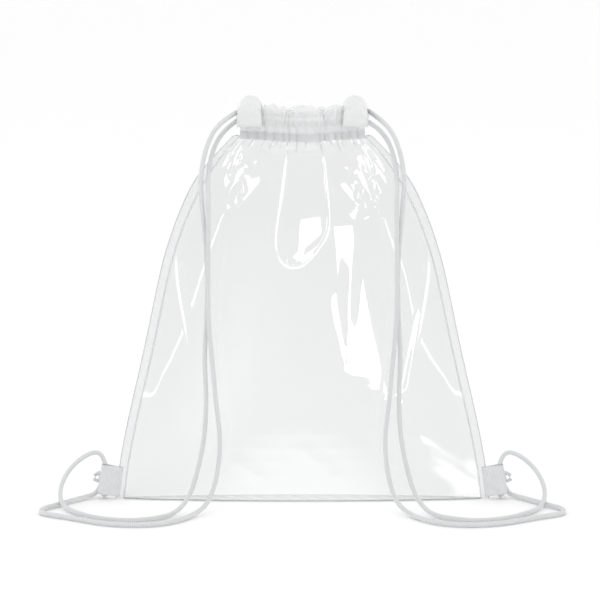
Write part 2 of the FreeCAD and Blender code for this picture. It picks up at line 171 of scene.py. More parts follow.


# %% [markdown]
# ## Cords
# Each cord is a soft round braid, 4.4 mm thick. It is a fixed length of something limp, so its shape is
# a route: out of the hem, down over the front of the bag, and in a loose loop across the floor back to
# its tab. The route's points steer a smooth spline, and a tube follows the points that Blender reads
# from that spline. The other way is a bevelled curve, which is quicker, but a mesh has a UV map along
# the cord for its braid.

# %% Routes of the free cords, for the left side
CORD = 0.0044
CORD_STEP = 0.0016
UPPER_ROUTE = [
    (0.078, -0.013, 0.360), (0.089, -0.024, 0.339), (0.094, -0.034, 0.312), (0.092, -0.040, 0.284),
    (0.0875, -0.0435, 0.238), (0.088, -0.044, 0.186), (0.091, -0.044, 0.146), (0.089, -0.044, 0.106),
    (0.091, -0.045, 0.070), (0.098, -0.046, 0.036), (0.106, -0.051, 0.013), (0.118, -0.066, 0.0024),
    (0.136, -0.083, 0.0024), (0.160, -0.091, 0.0024), (0.187, -0.083, 0.0024), (0.208, -0.064, 0.0024),
    (0.222, -0.044, 0.0024), (0.229, -0.028, 0.009), (0.226, -0.015, 0.024), (0.214, -0.007, 0.038),
    (0.199, -0.002, 0.0465), (0.1895, 0.0, 0.0435)]
LOWER_ROUTE = [
    (0.073, 0.001, 0.352), (0.083, -0.013, 0.336), (0.087, -0.031, 0.314), (0.086, -0.0445, 0.286),
    (0.0865, -0.0496, 0.238), (0.087, -0.050, 0.184), (0.0835, -0.0496, 0.146), (0.080, -0.050, 0.104),
    (0.0755, -0.051, 0.066), (0.080, -0.052, 0.030), (0.088, -0.055, 0.009), (0.099, -0.066, 0.0024),
    (0.111, -0.086, 0.0024), (0.130, -0.102, 0.0024), (0.156, -0.106, 0.0024), (0.184, -0.099, 0.0024),
    (0.206, -0.084, 0.0024), (0.226, -0.072, 0.0024), (0.243, -0.063, 0.0024), (0.2435, -0.046, 0.0024),
    (0.229, -0.031, 0.0024), (0.217, -0.015, 0.0024), (0.205, -0.002, 0.0024), (0.195, 0.007, 0.0036)]
HEM_END = (0.061, 0.0067)
HEM_LEVELS = {True: 0.3691, False: 0.3601}
TAB_TOP = (0.18717, 0.0, 0.03323)
KNOT_OUTER = (0.19062, 0.0086, 0.01625)
LOOP_ROUTE = [TAB_TOP, (0.19177, 0.0, 0.0024), (0.18587, 0.0086, 0.0024), (0.18587, 0.0086, 0.01554)]
CHANNEL_ROUTE = [(-0.0348, 0.0080, 0.35), (-0.0139, 0.0121, 0.9),
                 (0.0139, 0.0121, 0.9), (0.0348, 0.0080, 0.35)]
HEM_SAG = 0.0025
FILM_TOP = 0.347
SIDES = {"left": -1, "right": 1}
print("routes of", len(UPPER_ROUTE), "and", len(LOWER_ROUTE), "points")


def mirrored(side, route):
    """Points given for the bag's side, with x away from its middle."""
    return [Vector((side * x, y, z)) for x, y, z in route]


def hem_exit(side, upper):
    """Where a strand leaves the hem: the left cord's upper end is in front, the right one's behind."""
    in_front = (side < 0) == upper
    return Vector((side * HEM_END[0], -HEM_END[1] if in_front else HEM_END[1], HEM_LEVELS[upper]))


# %% Splines and tubes
def smooth_line(points, detail=10):
    """The points that Blender reads from a NURBS spline steered by a route."""
    curve = bpy.data.curves.new("route", "CURVE")
    curve.dimensions = "3D"
    curve.resolution_u = detail
    spline = curve.splines.new("NURBS")
    spline.points.add(len(points) - 1)
    for point, place in zip(spline.points, points):
        point.co = (*place, 1.0)
    spline.order_u = 3
    spline.use_endpoint_u = True
    holder = bpy.data.objects.new("route", curve)
    scene.collection.objects.link(holder)
    mesh = bpy.data.meshes.new_from_object(holder)
    line = np.array([v.co[:] for v in mesh.vertices])
    bpy.data.objects.remove(holder)
    bpy.data.meshes.remove(mesh)
    bpy.data.curves.remove(curve)
    return line


def even_line(line, step):
    """The same line in nearly equal steps."""
    along = lengths(line)
    count = max(4, int(round(along[-1] / step)))
    places = np.linspace(0, along[-1], count + 1)
    return np.stack([np.interp(places, along, line[:, axis]) for axis in range(3)], axis=1)


def line_frames(line):
    """Two directions square to the line at each point, carried along it without twisting."""
    tangents = np.gradient(line, axis=0)
    tangents /= np.linalg.norm(tangents, axis=1)[:, None]
    start = np.cross(tangents[0], (0.3, 0.9, 0.2))
    first = [start / np.linalg.norm(start)]
    for tangent in tangents[1:]:
        carried = first[-1] - tangent * np.dot(first[-1], tangent)
        first.append(carried / np.linalg.norm(carried))
    first = np.array(first)
    return first, np.cross(tangents, first)


def tube(name, line, radius, sides=14):
    """A round tube along a line. radius is one number or one for each point."""
    first, second = line_frames(line)
    angles = np.linspace(0, 2 * math.pi, sides, endpoint=False)
    radii = np.broadcast_to(np.asarray(radius, float), (len(line),))
    ring = (np.cos(angles)[None, :, None] * first[:, None] + np.sin(angles)[None, :, None] * second[:, None])
    grid = line[:, None] + ring * radii[:, None, None]
    return grid_object(name, grid, closed=True)


# %% Free strands
strands = {}
ROUTES = {"upper": UPPER_ROUTE + [TAB_TOP], "lower": LOWER_ROUTE + [KNOT_OUTER]}
for word, side in SIDES.items():
    for kind, route in ROUTES.items():
        points = [hem_exit(side, kind == "upper")] + mirrored(side, route)
        line = smooth_line(points)
        strand = tube(f"{word}_{kind}_cord", even_line(line, CORD_STEP), CORD / 2)
        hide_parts(f"{word}_{kind}_strand")
        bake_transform(strand)
        strands[word, kind] = strand
        print(f"{strand.name}: {lengths(line)[-1]:.3f} m")

# %% Cord inside the hems and inside the tabs
LOOP_STEP = 0.0012
for word, side in SIDES.items():
    front, back = HEM_LEVELS[side < 0], HEM_LEVELS[side > 0]
    bend = HEM_END[0] - 0.4 * CORD
    run = [Vector((side * HEM_END[0], -HEM_END[1], front))]
    run += [Vector((-side * x, -y, front - HEM_SAG * low)) for x, y, low in CHANNEL_ROUTE]
    run += [Vector((-side * bend, -HEM_END[1], front)), Vector((-side * bend, HEM_END[1], back))]
    run += [Vector((-side * x, y, back - HEM_SAG * low)) for x, y, low in reversed(CHANNEL_ROUTE)]
    run += [Vector((side * HEM_END[0], HEM_END[1], back))]
    inner = tube(f"{word}_hem_cord", even_line(smooth_line(run), CORD_STEP), CORD / 2)
    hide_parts(f"{word}_channel_cord")
    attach(inner, "bag")
    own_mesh(inner)
    strands[word, "hem"] = inner
    loop = tube(f"{word}_tab_cord", even_line(smooth_line(mirrored(side, LOOP_ROUTE)), LOOP_STEP), CORD / 2)
    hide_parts(f"{word}_loop_cord")
    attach(loop, "bag")
    strands[word, "loop"] = loop
print(len(strands), "lengths of cord")

# %% [markdown]
# ## How the film lies
# The film is flat-cut vinyl, so it can't stretch: it bulges in smooth arcs from one side seam to the
# other and takes up its spare width in folds. Rays shot at the imported solid measure how far it bulges at
# each height. There is no cloth simulation here: vinyl this stiff hardly moves in one. Shaped folds
# on measured arcs give long soft panels with crisp creases, and are the same in every run.

# %% Measure the imported film
MM = 0.001
FILM_ROWS = 300
FILM_COLUMNS = 420
HAIR = 0.0001


def ease(x, low, high):
    """Nought below low, one above high, smooth between."""
    share = np.clip((np.asarray(x, float) - low) / (high - low), 0, 1)
    return share * share * (3 - 2 * share)


def film_sections(node, side):
    """Height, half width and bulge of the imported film, row by row from the floor to the hem."""
    tree = BVHTree.FromObject(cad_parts[node], bpy.context.evaluated_depsgraph_get())
    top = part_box(node)[1][2]
    rows = []
    for height in np.linspace(0.0, top, FILM_ROWS + 1):
        level = min(max(height, HAIR), top - HAIR)
        bulge = tree.ray_cast(Vector((0, side, level)), Vector((0, -side, 0)))[0]
        edge = tree.ray_cast(Vector((-1, side * 3 * HAIR, level)), Vector((1, 0, 0)))[0]
        rows.append((height, abs(edge.x), abs(bulge.y)))
    return np.array(rows)


FRONT, BACK = -1, 1
sections = {FRONT: film_sections("front_panel", FRONT), BACK: film_sections("back_panel", BACK)}
for face, rows in sections.items():
    print("film", face, "half width", rows[0, 1].round(4), "to", rows[-1, 1].round(4),
          "bulge", rows[:, 2].max().round(4))

# %% [markdown]
# ## Gathers
# Pulling the cords bunches the mouth into knife pleats: the film runs forward, doubles back under
# itself and runs forward again. Seen from above, the mouth is one line of such folds. Each pleat is
# given by its place, by how far the layers overlap, and by which neighbour lies on top. A smooth line
# through those points is the pleated mouth, and the hem and the top of the film both follow it.

# %% Pleats of each hem, in millimetres
PLEATS = {
    FRONT: [(-50, 1.6, -1), (-42, 2.2, 1), (-34, 1.4, -1), (-26.5, 2.4, 1), (-18, 1.6, 1),
            (-11.5, 1.2, -1), (-5, 3.0, -1), (15.5, 2.8, 1), (20, 1.0, 1), (30, 2.2, 1),
            (37, 1.6, -1), (44, 2.2, 1), (51, 1.4, -1)],
    BACK: [(-51, 1.4, 1), (-43, 2.0, -1), (-33, 2.2, 1), (-22, 1.8, -1), (-13, 2.4, -1), (3, 2.6, 1),
           (12, 1.6, 1), (24, 2.4, -1), (33, 1.6, 1), (43, 2.0, -1), (51, 1.4, 1)]}
HEM_HALF = 58
ON_TOP, TUCKED, CROWN = 1.0, -2.0, 3.3
FULL_PILLOW, WIDE_PILLOW = 9, 8


def pleat_line(pleats):
    """The mouth from above: place along the hem and depth, with the folds in it."""
    line = [(-HEM_HALF, 0)]
    places = [-HEM_HALF] + [place for place, *_ in pleats] + [HEM_HALF]
    for index, (place, overlap, top) in enumerate(pleats):
        width = place - places[index]
        crown = CROWN * min(1.0, width / FULL_PILLOW)
        line.append((place - 0.62 * width, crown))
        if width > WIDE_PILLOW:
            line.append((place - 0.25 * width, crown))
        line.append((place + overlap, ON_TOP if top > 0 else TUCKED))
        line.append((place - overlap, TUCKED if top > 0 else ON_TOP))
    line += [(0.5 * (places[-2] + HEM_HALF), CROWN * 0.7), (HEM_HALF, 0)]
    smooth = smooth_line([Vector((x, depth, 0)) for x, depth in line], detail=16)
    return even_line(smooth, lengths(smooth)[-1] / FILM_COLUMNS)[:, :2]


folds = {face: pleat_line(pleats) for face, pleats in PLEATS.items()}
for face, line in folds.items():
    print("hem", face, "takes", round(lengths(line)[-1]), "mm of film into", 2 * HEM_HALF, "mm")


# %% How the mouth stands open
MOUTH_PLACES = np.array([-1, -0.66, -0.33, 0, 0.33, 0.66, 1]) * HEM_HALF
OPEN_SHARE = [0.2, 0.3, 0.8, 1.0, 0.8, 0.3, 0.2]
SAG_SHARE = [0, 0.25, 0.75, 1, 0.75, 0.25, 0]
MOUTH_OPEN = 8.5
HALF_HEM_DEPTH = 5


def mouth_line(x):
    """How far the mouth stands open at each place along it, and how far the hem sags, as shares."""
    lines = [smooth_line([Vector((place, share, 0)) for place, share in zip(MOUTH_PLACES, shares)])
             for shares in (OPEN_SHARE, SAG_SHARE)]
    return tuple(np.interp(x, line[:, 0], line[:, 1]) for line in lines)


print("the mouth is open", 2 * MOUTH_OPEN, "mm at its middle")


# %% [markdown]
# ## Creases of the front film
# Below the pleats the spare film comes down the front as one long rounded tongue, and the shoulders on
# both sides of it crumple into small flat facets. The tongue is a raised plateau whose rim has nearly
# the same slope all round, so that it catches the light as one bright outline. The shoulders are short
# straight ridges and valleys. Both are heights added square to the arcs, in millimetres.

# %% Tongue and creases
TONGUE = [(-13, 356), (-16, 330), (-20, 300), (-25, 268), (-26, 252), (-22, 238), (-13, 231), (-2, 231),
          (8, 239), (18, 252), (25, 264), (26, 276), (24, 300), (21, 330), (17, 356)]
TONGUE_HEIGHT = 9.6
TONGUE_RIM = 3.9
TONGUE_ROOF = ((12, 345), (-12, 246))
TONGUE_DENT = ((30, 262), (-4, 236))


def to_segment(x, z, start, end):
    """Distance to a straight line, place along it from nought to one, and the side of it."""
    run = np.subtract(end, start)
    along = np.clip(((x - start[0]) * run[0] + (z - start[1]) * run[1]) / (run @ run), 0, 1)
    off_x, off_z = x - start[0] - along * run[0], z - start[1] - along * run[1]
    side = np.sign(off_x * run[1] - off_z * run[0])
    return np.hypot(off_x, off_z), along, side


def inside_depth(x, z, outline):
    """How deep a point lies inside a closed outline; negative outside."""
    nearest = np.full(x.shape, 1e9)
    inside = np.zeros(x.shape, bool)
    for (x0, z0), (x1, z1) in zip(outline, outline[1:] + outline[:1]):
        nearest = np.minimum(nearest, to_segment(x, z, (x0, z0), (x1, z1))[0])
        if z0 != z1:
            inside ^= ((z0 > z) != (z1 > z)) & (x < (x1 - x0) * (z - z0) / (z1 - z0) + x0)
    return np.where(inside, nearest, -nearest)


def crease(x, z, start, end, height, width):
    """A straight ridge with a rounded top, tapering to nothing at both ends; a negative one is a valley."""
    distance, along, _ = to_segment(x, z, start, end)
    soft = np.sqrt(distance ** 2 + 0.6) - 0.77
    taper = ease(along, 0, 0.25) * ease(1 - along, 0, 0.25)
    return height * taper * np.clip(1 - soft / width, 0, 1) ** 1.25


def tongue(x, z):
    outline = smooth_line([Vector((px, pz, 0)) for px, pz in TONGUE], detail=4)[:, :2]
    depth = inside_depth(x, z, [tuple(p) for p in outline])
    rim = TONGUE_HEIGHT * ease(depth, 0.0, TONGUE_RIM) * (1 - 0.4 * ease(z, 290, 345))
    distance, _, side = to_segment(x, z, *TONGUE_ROOF)
    roof = -0.20 * (np.sqrt(distance ** 2 + 1.5) - 1.2) * np.where(side > 0, 0.55, 1.35)
    dent = 0.2 * np.clip(to_segment(x, z, *TONGUE_DENT)[0] - 9, -6, 0)
    return rim + (roof + dent) * ease(depth, 1.0, TONGUE_RIM)


print("the tongue stands", TONGUE_HEIGHT, "mm proud")

# %% Creases of the front: start, end, height and width, in millimetres
SHOULDER_CREASES = [
    ((-40, 333), (-80, 278), 3.0, 11), ((-46, 327), (-20, 322), 2.2, 7), ((-50, 322), (-64, 286), -2.0, 6),
    ((-28, 320), (-60, 282), 2.6, 9), ((-86, 285), (-58, 281), 1.8, 5), ((-66, 318), (-80, 296), 1.6, 6),
    ((-56, 312), (-52, 294), 1.4, 4)]
LONG_CREASES = [
    ((-123, 266), (-92, 92), 2.3, 4.5), ((123, 264), (92, 90), 2.1, 4.5), ((46, 262), (36, 96), 0.9, 10),
    ((-34, 250), (-58, 168), 0.9, 10), ((-20, 240), (-44, 120), -0.7, 9), ((30, 214), (44, 132), -0.7, 6),
    ((-103, 124), (-72, 96), 1.4, 6), ((104, 122), (78, 98), 1.2, 6), ((66, 320), (60, 232), -0.9, 12),
    ((-8, 64), (42, 14), 0.4, 12), ((-70, 48), (-20, 10), 0.4, 12), ((96, 40), (150, 6), 0.3, 12),
    ((-96, 42), (-150, 6), 0.3, 12)]


def waves(x, z):
    """Gentle unevenness of a film that has been folded and packed."""
    drift = 0.8 * np.sin(x / 19 + 0.012 * z + 0.7) + 0.35 * np.sin(x / 11 - 0.014 * z + 2.1)
    drift += 0.5 * np.sin(z / 38 + 0.022 * x + 1.3)
    return 0.3 * drift


def front_creases(x, z):
    """The shoulders are nearly mirror images, a little shifted so that they don't look stamped."""
    height = tongue(x, z) + waves(x, z)
    for start, end, tall, wide in SHOULDER_CREASES:
        height += crease(x, z, start, end, tall, wide)
        height += crease(-x - 3, z + 5, start, end, tall * 0.95, wide)
    for start, end, tall, wide in LONG_CREASES:
        height += crease(x, z, start, end, tall, wide)
    return height


# %% Creases of the back
BACK_CREASES = [
    ((-38, 332), (-70, 276), 2.6, 11), ((32, 330), (74, 282), 2.8, 11), ((-12, 338), (-22, 262), 3.0, 10),
    ((8, 338), (16, 250), 2.6, 9), ((48, 318), (30, 290), -1.8, 7), ((-56, 320), (-44, 292), -1.8, 6),
    ((-30, 240), (-52, 110), 1.0, 12), ((38, 230), (58, 100), 1.1, 12), ((-120, 250), (-96, 90), 1.2, 10),
    ((122, 246), (94, 84), 1.2, 10), ((-60, 60), (-10, 14), 0.9, 10), ((30, 56), (90, 10), 0.9, 10),
    ((0, 210), (6, 120), -0.9, 12)]


def back_creases(x, z):
    height = waves(-x + 40, z + 60)
    for start, end, tall, wide in BACK_CREASES:
        height += crease(x, z, start, end, tall, wide)
    return height


print(2 * len(SHOULDER_CREASES) + len(LONG_CREASES), "creases in front and", len(BACK_CREASES), "behind")

# %% [markdown]
# ## Laying the film
# Each film is one grid. Low down its columns are spread evenly along the arc. Towards the mouth they
# close up and then follow the pleated line, so that every column runs from the foot into the hem. The
# creases are added square to the arc. The film is cut into two halves at its middle, one for each end of
# the mouth; the two share their normals, so the join doesn't show.

# %% Columns of a film
def smooth_row(row):
    """A row of places without its folds, by averaging it over a wide stretch."""
    wide = 28
    before = 2 * row[:1] - row[wide:0:-1]
    after = 2 * row[-1:] - row[-2:-wide - 2:-1]
    kernel = np.hanning(2 * wide + 1)
    return np.convolve(np.concatenate([before, row, after]), kernel / kernel.sum(), "valid")


def film_columns(line, height, half, radius):
    """Where each column lies across the film: spread evenly low down, pleated at the mouth."""
    angle = np.arcsin(np.clip(half / radius, 0, 1))
    spread = radius * np.sin(angle * np.linspace(-1, 1, len(line)))
    pleated = line[:, 0] / HEM_HALF
    overlap = ease(height, 0.326, 0.345)
    across = half * ((1 - overlap) * smooth_row(pleated) + overlap * pleated)
    gather = ease(height, 0.27, 0.345)
    return (1 - gather) * spread + gather * across


# %% Creases and pleats of a film
CORD_LIES = 86


def film_lift(face, line, x, z, height):
    """How far creases and pleats stand out from the arc, in millimetres; less where a cord lies on it."""
    creases = front_creases(x / MM, z / MM) if face == FRONT else back_creases(x / MM, z / MM)
    if face == FRONT:
        under_cord = np.exp(-((np.abs(x / MM) - CORD_LIES) / 11) ** 2) * (1 - ease(height, 0.31, 0.335))
        creases = np.where(creases > 0, creases * (1 - 0.85 * under_cord), creases)
    fade = ease(height, 0.0, 0.03) * (1 - ease(height, 0.332, 0.3465))
    pleats = line[:, 1] * ease(height, 0.305, FILM_TOP) ** 1.5 * 0.4
    return creases * fade + pleats


def film_grid(face):
    """Points of one whole film, and the number of its middle column."""
    height, half, bulge = (column[:, None] for column in sections[face].T)
    line = folds[face]
    radius = (half ** 2 + bulge ** 2) / (2 * bulge)
    x = film_columns(line, height, half, radius)
    arc = bulge - radius + np.sqrt(np.maximum(radius ** 2 - x ** 2, 0))
    outwards = np.clip(np.abs(x) / half, 0, 1)
    mouth_open, sag = mouth_line(x / MM)
    hem_y = (MOUTH_OPEN * mouth_open + HALF_HEM_DEPTH) * MM * (1 - ease(outwards, 0.86, 1.0))
    join = ease(height, 0.330, 0.346)
    y = (1 - join) * arc + join * hem_y
    z = height - HEM_SAG * sag * ease(height, 0.30, FILM_TOP)
    lift = film_lift(face, line, x, z, height) * (1 - ease(outwards, 0.9, 0.995)) * MM
    lean = x / radius * (1 - join)
    x = x + lift * lean
    y = y + lift * np.sqrt(np.maximum(1 - lean ** 2, 0))
    return to_grid(x, face * y, z), int(np.argmin(np.abs(line[:, 0])))


# %% Halves of a sheet
def grid_normals(grid):
    down, across = np.gradient(grid, axis=0), np.gradient(grid, axis=1)
    normal = np.cross(across, down)
    return normal / np.maximum(np.linalg.norm(normal, axis=2), 1e-12)[:, :, None]


def halves(name, face, grid, middle):
    """The left and right half of a sheet that faces front or back, with one set of normals for both."""
    if face == BACK:
        grid = grid[:, ::-1]
        middle = grid.shape[1] - 1 - middle
    normals = grid_normals(grid)
    order = ("left", "right") if face == FRONT else ("right", "left")
    made = {}
    for side, columns in zip(order, (slice(0, middle + 1), slice(middle, None))):
        made[side] = grid_object(f"{name}_{side}", grid[:, columns])
        made[side].data.normals_split_custom_set_from_vertices(normals[:, columns].reshape(-1, 3).tolist())
    return made


# %% Films
FACES = {FRONT: "front", BACK: "back"}
films = {}
for face, word in FACES.items():
    grid, middle = film_grid(face)
    for side, half in halves(f"{word}_film", face, grid, middle).items():
        films[word, side] = half
        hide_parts(f"{word}_panel")
        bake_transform(half)
    print(word, "film reaches out", round(float(np.abs(grid[:, :, 1]).max()), 4), "m and is",
          round(float(lengths(grid[:, middle])[-1]), 4), "m long at its middle")

# %% [markdown]
# ## Sums in shaders
# A material's pattern is arithmetic on places: how far along, how far round. Blender does each sum in a
# node. A small class holds a socket and adds the right node whenever Python meets an operator, so that
# a pattern can be read as a formula.

# %% A socket that can be used in sums
class Wire:
    def __init__(self, recipe, socket):
        self.recipe, self.socket = recipe, socket

    def join(self, operation, *others):
        return self.recipe.add("Math", {"operation": operation}, dict(enumerate((self, *others))))

    def __add__(self, other): return self.join("ADD", other)
    def __sub__(self, other): return self.join("SUBTRACT", other)
    def __rsub__(self, other): return self.recipe.add("Math", {"operation": "SUBTRACT"}, {0: other, 1: self})
    def __mul__(self, other): return self.join("MULTIPLY", other)
    def __pow__(self, other): return self.join("POWER", other)
    def sine(self): return self.join("SINE")
    def least(self, other): return self.join("MINIMUM", other)
    def most(self, other): return self.join("MAXIMUM", other)
    __radd__, __rmul__ = __add__, __mul__


# %% A tree of nodes
class Recipe:
    """Adds nodes to a tree."""

    def __init__(self, tree):
        self.tree = tree

    def feed(self, node, values):
        for key, value in values.items():
            if isinstance(value, Wire):
                self.tree.links.new(value.socket, node.inputs[key])
            else:
                node.inputs[key].default_value = value

    def add(self, kind, settings=(), values=(), output=0):
        node = self.tree.nodes.new(f"ShaderNode{kind}")
        for key, value in dict(settings).items():
            setattr(node, key, value)
        self.feed(node, dict(values))
        return Wire(self, node.outputs[output])

    def ramp(self, value, low, high):
        """Nought below low, one above high, smooth between."""
        return self.add("MapRange", {"interpolation_type": "SMOOTHSTEP"}, {0: value, 1: low, 2: high})

    def place(self, output="UV"):
        """Three wires that say where: metres across and down a piece, or a direction in the room."""
        split = self.add("SeparateXYZ", values={0: self.add("TexCoord", output=output)})
        return [Wire(self, socket) for socket in split.socket.node.outputs]


# %% A finish for a piece
class Finish(Recipe):
    """A material being made."""

    def __init__(self, name, **constants):
        self.material = bpy.data.materials.new(name)
        self.material.use_nodes = True
        super().__init__(self.material.node_tree)
        self.shader = self.tree.nodes["Principled BSDF"]
        self.output = self.tree.nodes["Material Output"]
        self.feed(self.shader, {key.replace("_", " "): value for key, value in constants.items()})

    def noise(self, size, detail=3.0):
        where = self.add("TexCoord", output="Object")
        return self.add("TexNoise", values={"Vector": where, "Scale": 1 / size, "Detail": detail})

    def stripes(self, place, pitch):
        """Even stripes across a place, from nought to one."""
        return (place * (TURN / pitch)).sine() * 0.5 + 0.5

    def blend(self, share, low, high):
        """One colour where share is nought, another where it is one."""
        return self.add("Mix", {"data_type": "RGBA"}, {"Factor": share, 6: (*low, 1), 7: (*high, 1)},
                        output=2)

    def bump(self, height, distance, strength):
        return self.add("Bump", values={"Height": height, "Distance": distance, "Strength": strength})

    def skim(self):
        """How much vinyl mirrors: little face on, nearly all along the surface, alike from both sides."""
        slant = self.add("LayerWeight", values={"Blend": 0.5}, output="Facing")
        return 0.04 + slant ** 5 * 0.96

    def see_through(self, share, tint):
        """Mix the shader over a clear one: share is how much of the shader shows."""
        clear = self.add("BsdfTransparent", values={"Color": (*tint, 1)})
        mixed = self.add("MixShader", values={0: share, 1: clear, 2: Wire(self, self.shader.outputs[0])})
        self.tree.links.new(mixed.socket, self.output.inputs["Surface"])


TURN = 2 * math.pi
print("one turn is", round(TURN, 3))

# %% [markdown]
# ## Clear vinyl
# Clear film shows what is behind it, a little dimmed, and mirrors the studio on top. Both of its
# surfaces mirror, so it reflects about twice what one surface does, and more at grazing angles. A
# refracting volume would need thickness and many bounces; a clear shader mixed with a mirror one gives
# the same look for a film this thin. The back film is rubbed duller than the front one.

# %% Film
CLEAR_TINT = (0.93, 0.932, 0.933)
HEM_TINT = (0.985, 0.986, 0.988)
WELD_FROM, WELD_TO = 0.0070, 0.0086


def clear_vinyl(name, strength, smear):
    """Clear film, scuffed all over and rubbed dull low down, where the bag stands."""
    film = Finish(name, Base_Color=(1, 1, 1, 1), Metallic=1.0)
    scuffs = film.noise(0.012, 4)
    _, risen, _ = film.place()
    rubbed = 1 - film.ramp(risen, 0.03, 0.08)
    film.feed(film.shader, {"Roughness": smear + scuffs * 0.05 + rubbed * 0.14,
                            "Normal": film.bump(film.noise(0.009, 2), 0.00006, 0.5)})
    film.see_through((film.skim() * strength + 0.006).least(0.92), CLEAR_TINT)
    return film.material


def hem_vinyl(total):
    """The same film in two layers, rubbed and creased, with its welded band."""
    film = Finish("hem_vinyl", Base_Color=(0.95, 0.955, 0.96, 1), Metallic=0.0, IOR=1.5)
    _, down, _ = film.place()
    front_weld = 1 - film.ramp(down, WELD_FROM, WELD_TO)
    weld = front_weld.most(film.ramp(down, total - WELD_TO, total - WELD_FROM))
    knurl = film.stripes(down, 0.0012) * weld
    creases = film.noise(0.004, 4)
    film.feed(film.shader, {"Base Color": film.blend(weld, (0.96, 0.962, 0.965), (0.70, 0.71, 0.72)),
                            "Roughness": 0.12 + creases * 0.18,
                            "Normal": film.bump(creases + knurl * 0.6, 0.0003, 0.5)})
    film.see_through((film.skim() * 1.6 + 0.36 + weld * 0.2).least(0.95), HEM_TINT)
    return film.material


vinyl = clear_vinyl("clear_vinyl", 1.9, 0.02)
back_vinyl = clear_vinyl("rubbed_vinyl", 1.2, 0.42)
for (word, _), half in films.items():
    dress(half, vinyl if word == "front" else back_vinyl)
print(len(films), "halves of film wear", vinyl.name, "and", back_vinyl.name)

# %% [markdown]
# ## Hems
# Each hem is the top of a film folded over and welded to itself, which leaves a flat channel for both
# cords. Its section is a tube pinched shut along a band at the bottom. Swept along the pleated line of
# the mouth, that section gives the row of little pillows that a drawn cord makes.

# %% Hem
HEM_OUTER = [(344.5, 0.35), (348.4, 0.4), (352.3, 0.5), (353.4, 1.5), (355.6, 3.1), (359, 4.2), (363, 4.7),
             (367, 4.7), (370, 4.1), (372.3, 3.0), (373.6, 1.6), (374.1, 0.0)]


def finer(points, times=2):
    """Points of a profile with smooth ones put between them."""
    line = smooth_line([Vector((a, b, 0)) for a, b in points], detail=6)
    return even_line(line, lengths(line)[-1] / (len(points) * times))[:, :2]


outer_wall = [(height, out, 1.0) for height, out in finer(HEM_OUTER)]
inner_wall = [(height, -0.9 * out, 0.45) for height, out, _ in outer_wall[::-1][1:]]
HEM_WALLS = outer_wall + inner_wall
HEM_LOW, HEM_TALL = 352.5, 21.6
hem_round = float(lengths(np.array([(height, out, 0) for height, out, _ in HEM_WALLS]))[-1]) * MM
print("a hem's section is", round(hem_round, 4), "m round")


# %% Sweep it along the pleats
def hem_grid(face):
    """Points of one whole hem, in millimetres until the end, and the number of its middle column."""
    line = folds[face]
    x, depth = line[None, :, 0], line[None, :, 1]
    height, out, follow = (np.array(column)[:, None] for column in zip(*HEM_WALLS))
    mouth_open, sag = mouth_line(x)
    under_patch = ease(np.abs(x), 33, 38)
    pillow = depth * (1 - 0.5 * under_patch)
    share = (height - HEM_LOW) / HEM_TALL
    swell = 0.55 + 0.45 * ease(share, 0.0, 0.45) - 0.25 * ease(share, 0.7, 1.0)
    y = MOUTH_OPEN * mouth_open + HALF_HEM_DEPTH + out * (1 - 0.14 * under_patch) + pillow * follow * swell
    ripple = 0.35 * np.sin(x * 0.9 + height * 0.22) * ease(share, 0.05, 0.3) * (1 - under_patch)
    crumple = np.clip(share, 0, 1) ** 2
    z = height - HEM_SAG / MM * sag + (pillow - 1.6) * 0.9 * crumple
    z = z + 1.2 * np.sin(x / 5.3 + 1.0) * crumple * (1 - under_patch)
    lean = np.sin(x * 0.23 + 0.4 * face) * 1.6 * ease(share, 0.1, 1.0) * (1 - under_patch)
    return to_grid(x + lean, face * (y + ripple), z) * MM, int(np.argmin(np.abs(line[:, 0])))


hems = {}
for face, word in FACES.items():
    for side, half in halves(f"{word}_hem", face, *hem_grid(face)).items():
        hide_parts(f"{word}_hem")
        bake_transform(half)
        hems[word, side] = half
print(len(hems), "halves of hem, each with", len(HEM_WALLS), "points round")

# %% [markdown]
# ## Strips with thickness
# Ribbon and welded edges are thick enough to show their edge. The helper gives a grid of points two
# faces, half the thickness to each side, and walls round its border.

# %% Shell
def shell(name, grid, thickness):
    """A closed solid sheet; thickness is one number or one for each point."""
    rows, columns = grid.shape[:2]
    normal = grid_normals(grid)
    half = np.broadcast_to(np.asarray(thickness, float) / 2, (rows, columns))[:, :, None] * normal
    points = np.concatenate([(grid + half).reshape(-1, 3), (grid - half).reshape(-1, 3)])
    count = rows * columns
    top = grid_faces(rows, columns, False)
    uv = grid_uv(grid, False)
    faces = top + [tuple(count + corner for corner in reversed(face)) for face in top]
    uv = uv + [tuple(reversed(places)) for places in uv]
    border = [row * columns for row in range(rows)] + list(range((rows - 1) * columns + 1, count))
    border += [row * columns + columns - 1 for row in range(rows - 2, -1, -1)]
    border += list(range(columns - 2, 0, -1))
    where = {}
    for face, places in zip(top, uv):
        where.update(zip(face, places))
    for one, two in zip(border, border[1:] + border[:1]):
        faces.append((one, two, count + two, count + one))
        uv.append((where[one], where[two], where[two], where[one]))
    piece = add_object(name, points, faces, uv)
    work = bmesh.new()
    work.from_mesh(piece.data)
    bmesh.ops.recalc_face_normals(work, faces=work.faces)
    work.to_mesh(piece.data)
    work.free()
    return piece


# %% [markdown]
# ## Ribbon patches
# A short satin ribbon is folded over each end of the mouth and sewn through. It holds the two hems
# together and its open outer edge lets the cords out. It is an arch, with its edges drawn in by the
# stitches, so it looks like a small dome from the front.

